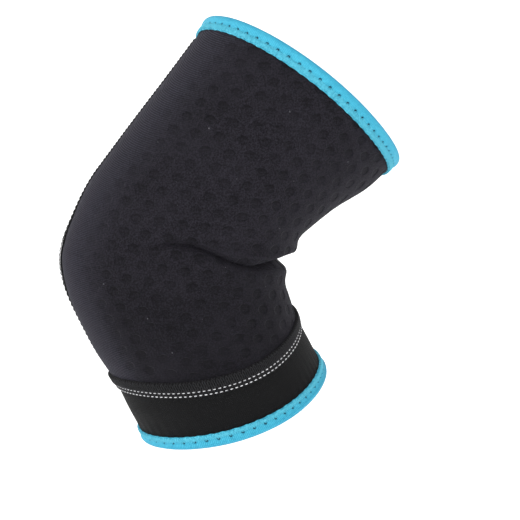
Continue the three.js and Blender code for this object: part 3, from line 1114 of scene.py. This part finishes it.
edge_tape = Finish(
    "edge_tape", Sheen_Weight=0.05, Sheen_Roughness=0.35, Specular_IOR_Level=0.2,
)
around, across = edge_tape.cloth_uv()
weave, picks = around.wave(0.62 * MM), across.wave(0.8 * MM)
grain = edge_tape.noise(1500, detail=3, roughness=0.6)
patches = edge_tape.noise(120)
hole = edge_tape.attribute("hole")
outer = across.rise(-3.4 * MM, -2.4 * MM)
# Painted shade towards the rim, where the tape turns over the fold.
rim_shade = across.rise(-2 * MM, 1 * MM)
specks = edge_tape.noise(1200, detail=1)
woven = grain.rise(0.25, 0.75) * 0.6 + weave * (0.06 + outer * 0.34) + 0.25 - rim_shade * 0.4
body = edge_tape.mix(woven, TAPE_DEEP, TAPE_BLUE)
body = edge_tape.mix(specks.rise(0.5, 0.6) * (1 - outer) * 0.7, body, THREAD_BLUE)
body = edge_tape.mix((1 - specks.rise(0.38, 0.46)) * (1 - outer) * 0.18, body, TAPE_SPECK_AND_HOLE_SHADE)
body = edge_tape.mix(patches.rise(0.35, 0.8) * 0.3, body, TAPE_BLUE)
# Painted shade in the needle holes; the same dark blue also gives the real dark specks above.
body = edge_tape.mix(hole.rise(0.15, 0.55), body, TAPE_SPECK_AND_HOLE_SHADE)
edge_tape.feed(
    Base_Color=body,
    Roughness=0.5 + grain * 0.25,
    Normal=edge_tape.bump(weave * 0.05 + weave * picks * 0.02 + grain * 0.1),
)


def thread_finish(name, dark, light, shine):
    """Twisted thread: slanted strands along the tube, with painted shade in the grooves between
    them.
    """
    finish = Finish(name, Sheen_Weight=0.03, Specular_IOR_Level=shine)
    run, around = finish.cloth_uv()
    strands = (run * 1.6 + around).wave(0.55 * MM)
    fibre = finish.noise(3000)
    # The grooves between the strands get painted shade.
    body = finish.mix(strands.rise(-0.9, 0.6) * 0.8 + fibre * 0.2, dark, light)
    finish.feed(
        Base_Color=body,
        Roughness=0.5 + fibre * 0.3,
        Normal=finish.bump(strands * 0.06 + fibre * 0.05),
    )
    return finish


tape_thread_finish = thread_finish("tape_thread", TAPE_BLUE, THREAD_BLUE, 0.2)
black_thread = thread_finish("black_thread", colour(12, 12, 13), colour(44, 44, 48), 0.2)

# %% [markdown]
# ## Seam cloth and white thread
#
# The strips under the black thread are rough and very dark. The white dashes are too small to
# need a UV map, so noise on Object coordinates gives them their fibres.

# %% Mix the strip and the white thread
seam_strip = Finish("seam_strip", Sheen_Weight=0.02, Specular_IOR_Level=0.15)
around, across = seam_strip.cloth_uv()
slant = (around + across * 0.6).wave(1.0 * MM)
fuzz = seam_strip.noise(2000, detail=3)
body = seam_strip.mix(slant.rise(-0.6, 0.9) * fuzz, colour(12, 12, 13), colour(42, 42, 45))
seam_strip.feed(
    Base_Color=body,
    Roughness=0.7 + fuzz * 0.25,
    Normal=seam_strip.bump(slant * 0.12 + fuzz * 0.15),
)

white_thread = Finish("white_thread", Sheen_Weight=0.05, Specular_IOR_Level=0.2)
fibre = white_thread.noise(2500)
body = white_thread.mix(fibre.rise(0.3, 0.7), colour(168, 168, 172), colour(238, 238, 240))
white_thread.feed(
    Base_Color=body,
    Roughness=0.45 + fibre * 0.3,
    Normal=white_thread.bump(fibre * 0.12),
)

# %% Dress the pieces
zigzags = [upper_zigzag, lower_zigzag, upper_inner_zigzag, lower_inner_zigzag]
DRESS = [
    (cloth, "dimpled_cloth", [sleeve]),
    (cuff_cloth, "cuff_cloth", [cuff]),
    (edge_tape, "edge_tape", [upper_tape, lower_tape]),
    (tape_thread_finish, "edge_tape", zigzags),
    (black_thread, "seam_strip", [cuff_cover, back_cover]),
    (seam_strip, "seam_strip", [cuff_strip, back_strip]),
    (white_thread, "seam_strip", [cuff_dashes, back_dashes]),
]
for finish, slot, pieces in DRESS:
    for piece in pieces:
        piece.data.materials.append(finish.material)
        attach(piece, "root")
print("pieces:", sum(len(pieces) for finish, slot, pieces in DRESS))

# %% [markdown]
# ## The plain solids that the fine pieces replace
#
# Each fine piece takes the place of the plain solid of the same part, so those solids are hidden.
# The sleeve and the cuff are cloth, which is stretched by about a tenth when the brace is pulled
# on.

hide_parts("sleeve_body")
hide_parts("cuff_band")
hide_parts("upper_binding")
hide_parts("lower_binding")
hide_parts("cuff_seam")
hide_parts("back_seam")

# %% [markdown]
# ## The studio
#
# The brace keeps its worn form, held up over a pale floor. The floor is a
# wide dish whose rim rises far away on every side, so there is no horizon behind the brace
# from any angle. It is spun from a short profile. It gives off a little light of its own, as
# a lit studio sweep does.

# %% Build the floor
FLOOR_LEVEL = -0.115
FLAT_RADIUS = 1.4
SWEEP_RADIUS = 0.9
SWEEP_STEPS = 10
WALL_HEIGHT = 1.5
SPIN_STEPS = 64

bm = bmesh.new()
profile = [(0, FLOOR_LEVEL)]
for step in range(SWEEP_STEPS + 1):
    angle = math.pi / 2 * step / SWEEP_STEPS
    rise = SWEEP_RADIUS * (1 - math.cos(angle))
    profile.append((FLAT_RADIUS + SWEEP_RADIUS * math.sin(angle), FLOOR_LEVEL + rise))
profile.append((FLAT_RADIUS + SWEEP_RADIUS, FLOOR_LEVEL + WALL_HEIGHT))
corners = [bm.verts.new((x, 0, z)) for x, z in profile]
edges = [bm.edges.new(pair) for pair in zip(corners, corners[1:])]
bmesh.ops.spin(
    bm, geom=corners + edges, cent=(0, 0, 0), axis=(0, 0, 1), dvec=(0, 0, 0),
    angle=math.tau, steps=SPIN_STEPS, use_merge=True,
)
bmesh.ops.remove_doubles(bm, verts=bm.verts, dist=1e-6)
bmesh.ops.recalc_face_normals(bm, faces=bm.faces)
floor = smooth_piece(bm, bpy.data.meshes.new("studio_floor"))

floor_finish = Finish(
    "studio_floor", Roughness=0.9, Specular_IOR_Level=0.1,
    Base_Color=(0.86, 0.86, 0.86, 1), Emission_Color=(1, 1, 1, 1), Emission_Strength=0.6,
)
floor.data.materials.append(floor_finish.material)

# %% [markdown]
# ## Light
#
# A wide soft box hangs above, a little to the left and in front, so that each dimple has a
# dark upper rim and a pale lower one. A second one behind on the left draws the pale edge
# along the back of the sleeve, and a weak fill keeps the crease open.

# %% Hang the lights
bpy.context.scene.view_settings.view_transform = "Standard"
AIM = Vector((0.02, 0, 0))


def soft_box(name, place, size, power):
    """An area light that faces the brace. The power is in watts."""
    light = bpy.data.lights.new(name, "AREA")
    light.shape, light.size, light.size_y = "RECTANGLE", *size
    light.energy = power
    lamp = bpy.data.objects.new(name, light)
    lamp.location = place
    lamp.rotation_euler = (AIM - Vector(place)).to_track_quat("-Z", "Y").to_euler()
    bpy.context.collection.objects.link(lamp)


soft_box("key_box", (-0.35, -0.75, 1.15), (0.7, 0.6), 6.5)
soft_box("edge_box", (-1.0, 0.25, 0.7), (0.8, 0.5), 4)
soft_box("fill_box", (0.9, -1.0, 0.25), (0.9, 0.9), 0.5)

world = bpy.data.worlds.new("studio")
bpy.context.scene.world = world
world.use_nodes = True
background = world.node_tree.nodes["Background"].inputs
background["Color"].default_value = (1, 1, 1, 1)
background["Strength"].default_value = 0.35

# %% [markdown]
# ## The camera
#
# The camera stands 750 mm away, a little to the left of straight on and a little above, with a
# long lens. The square picture is as wide as 218 mm at the brace.

# %% Set up the camera
CAMERA_AZIMUTH = math.radians(-26)
CAMERA_RISE = math.radians(6)
CAMERA_DISTANCE = 0.75
CAMERA_TARGET = Vector((0.0366, 0, -0.0054))
PICTURE_WIDTH = 0.2184
SENSOR = 36

back = Vector((
    math.sin(CAMERA_AZIMUTH) * math.cos(CAMERA_RISE),
    -math.cos(CAMERA_AZIMUTH) * math.cos(CAMERA_RISE),
    math.sin(CAMERA_RISE),
))
lens = bpy.data.cameras.new("camera")
lens.sensor_width = SENSOR
lens.lens = SENSOR * CAMERA_DISTANCE / PICTURE_WIDTH
lens.clip_end = 20
camera = bpy.data.objects.new("camera", lens)
camera.location = CAMERA_TARGET + back * CAMERA_DISTANCE
camera.rotation_euler = back.to_track_quat("Z", "Y").to_euler()
bpy.context.collection.objects.link(camera)
bpy.context.scene.camera = camera
print(f"lens: {lens.lens:.1f} mm")
